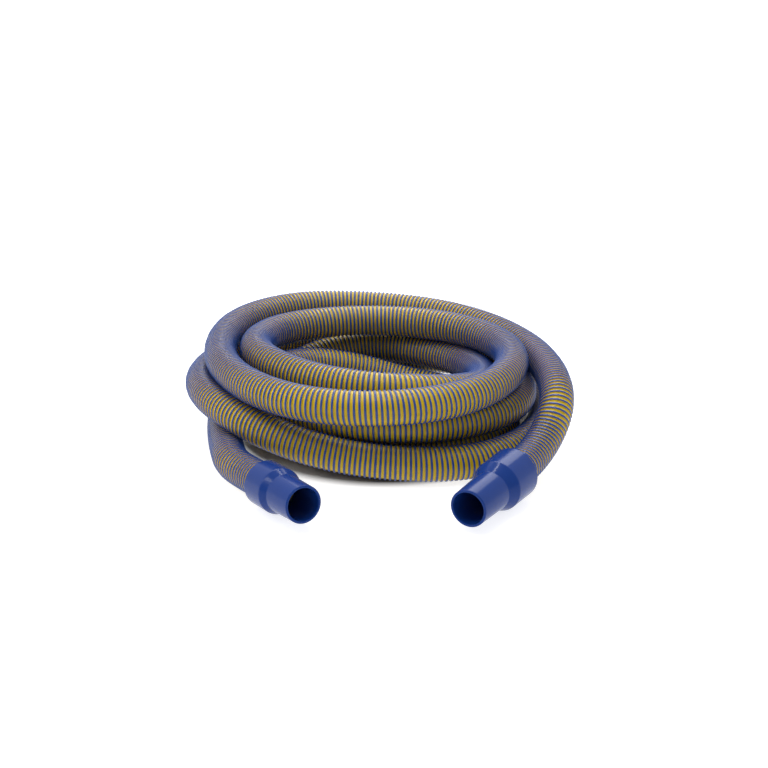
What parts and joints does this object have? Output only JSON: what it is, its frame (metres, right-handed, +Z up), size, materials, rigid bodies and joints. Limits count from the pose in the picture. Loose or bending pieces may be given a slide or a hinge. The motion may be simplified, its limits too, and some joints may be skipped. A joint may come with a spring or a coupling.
{
  "type": "pool vacuum hose",
  "caption": "Coiled corrugated pool vacuum hose in blue and yellow spiral stripes, with a moulded blue cuff on each end.",
  "frame": {"origin": "middle of the coil's outline on the floor it lies on", "axes": "+Z up; +Y away from the two cuffs, along the longer side of the outline"},
  "size_m": [0.5426, 0.6287, 0.1367],
  "materials": {
    "hose": "glossy blue bead wound beside a satin yellow web",
    "cuff": "glossy blue moulded vinyl"
  },
  "bodies": {
    "root": {"hose": "hose", "cuff_left": "cuff", "cuff_right": "cuff"}
  },
  "joints": []
}
